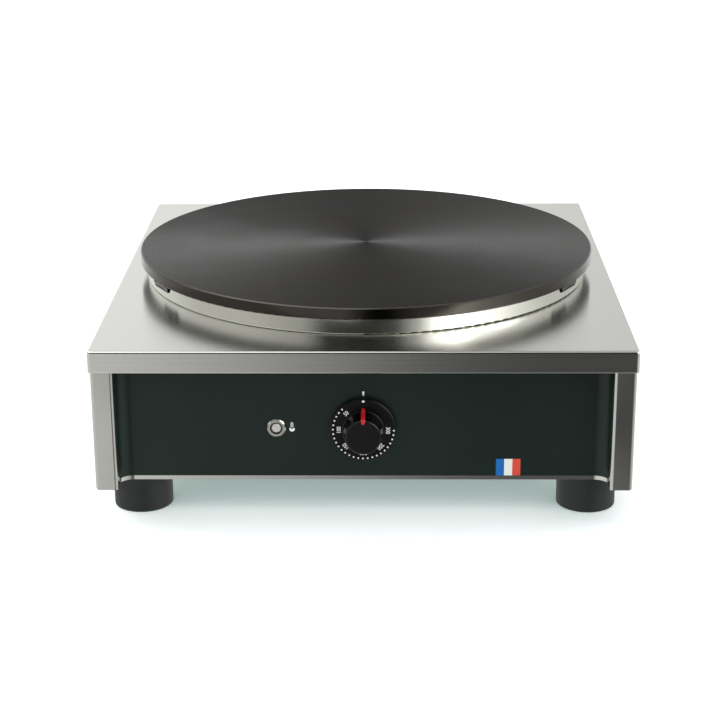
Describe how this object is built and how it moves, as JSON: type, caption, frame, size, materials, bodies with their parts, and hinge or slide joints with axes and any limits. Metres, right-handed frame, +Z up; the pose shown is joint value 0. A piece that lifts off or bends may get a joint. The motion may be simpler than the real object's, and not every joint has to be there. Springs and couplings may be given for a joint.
{
  "type": "electric crepe maker",
  "caption": "Countertop electric crepe maker: round cast-iron griddle on a ring over a square stainless case, recessed front panel with a turning thermostat dial and pilot light.",
  "frame": {"origin": "on the table, under the middle of the case's footprint", "axes": "+X to the right seen from the front, +Y to the back, +Z up; the dial faces -Y"},
  "size_m": [0.43, 0.47, 0.171],
  "materials": {
    "cover_steel": "brushed along X",
    "case_steel": "brushed lengthwise",
    "ring_steel": "satin rolled band",
    "inner_steel": "zinc plated",
    "fastener_steel": "zinc plated",
    "griddle_iron": "turned, seasoned",
    "pan_steel": "bright aluminised",
    "pad_fibre": "mineral fibre",
    "element_sheath": "dark oxide",
    "terminal_brass": "plain",
    "copper_tube": "copper capillary",
    "front_film": "satin dark film",
    "rubber_foot": "moulded",
    "knob_black": "semi-gloss moulded",
    "dial_black": "satin, white print",
    "pointer_red": "moulded",
    "shaft_steel": "plain",
    "bezel_chrome": "polished",
    "lens_clear": "clear moulded",
    "lamp_white": "moulded",
    "control_dark": "moulded",
    "block_cream": "moulded",
    "gland_black": "moulded",
    "wire_sleeve": "silicone sleeve"
  },
  "bodies": {
    "housing": {"top_cover": "cover_steel", "ring_collar": "ring_steel", "ring_rivets": "fastener_steel", "right_side_panel": "case_steel", "left_side_panel": "case_steel", "front_panel": "case_steel", "front_overlay": "front_film", "rear_panel": "case_steel", "rear_panel_screws": "fastener_steel", "bottom_plate": "inner_steel", "bottom_plate_screws": "fastener_steel", "corner_bracket_rear_right": "inner_steel", "corner_bracket_rear_left": "inner_steel", "corner_bracket_front_right": "inner_steel", "corner_bracket_front_left": "inner_steel", "cover_studs": "fastener_steel", "cover_nuts": "fastener_steel", "foot_front_left": "rubber_foot", "foot_front_right": "rubber_foot", "foot_rear_left": "rubber_foot", "foot_rear_right": "rubber_foot", "foot_bolts": "fastener_steel", "foot_nuts": "fastener_steel", "griddle_plate": "griddle_iron", "plate_posts": "inner_steel", "plate_bolts": "fastener_steel", "reflector_pan": "pan_steel", "insulation_pad": "pad_fibre", "support_bar_front": "inner_steel", "support_bar_rear": "inner_steel", "right_bar_rail": "inner_steel", "left_bar_rail": "inner_steel", "bar_rivets": "fastener_steel", "outer_heating_element": "element_sheath", "inner_heating_element": "element_sheath", "element_terminals": "terminal_brass", "element_clamps": "inner_steel", "clamp_studs": "fastener_steel", "clamp_nuts": "fastener_steel", "thermostat_bulb": "copper_tube", "bulb_clip": "inner_steel", "bulb_clip_screw": "fastener_steel", "thermostat_capillary": "copper_tube", "thermal_cutout": "control_dark", "thermostat_body": "control_dark", "thermostat_screws": "fastener_steel", "pilot_bezel": "bezel_chrome", "pilot_lens": "lens_clear", "pilot_body": "lamp_white", "pilot_nut": "fastener_steel", "cable_gland": "gland_black", "gland_nut": "gland_black", "terminal_block": "block_cream", "terminal_block_screws": "fastener_steel", "earth_stud": "terminal_brass", "internal_wires": "wire_sleeve"},
    "knob": {"knob_dial": "dial_black", "knob_grip": "knob_black", "knob_pointer": "pointer_red", "thermostat_shaft": "shaft_steel"}
  },
  "joints": [
    {"name": "knob_turn", "type": "hinge", "parent": "housing", "child": "knob", "pos_m": [0, -0.2113, 0.075], "axis": [0, 1, 0], "range_deg": [0, 270]}
  ]
}
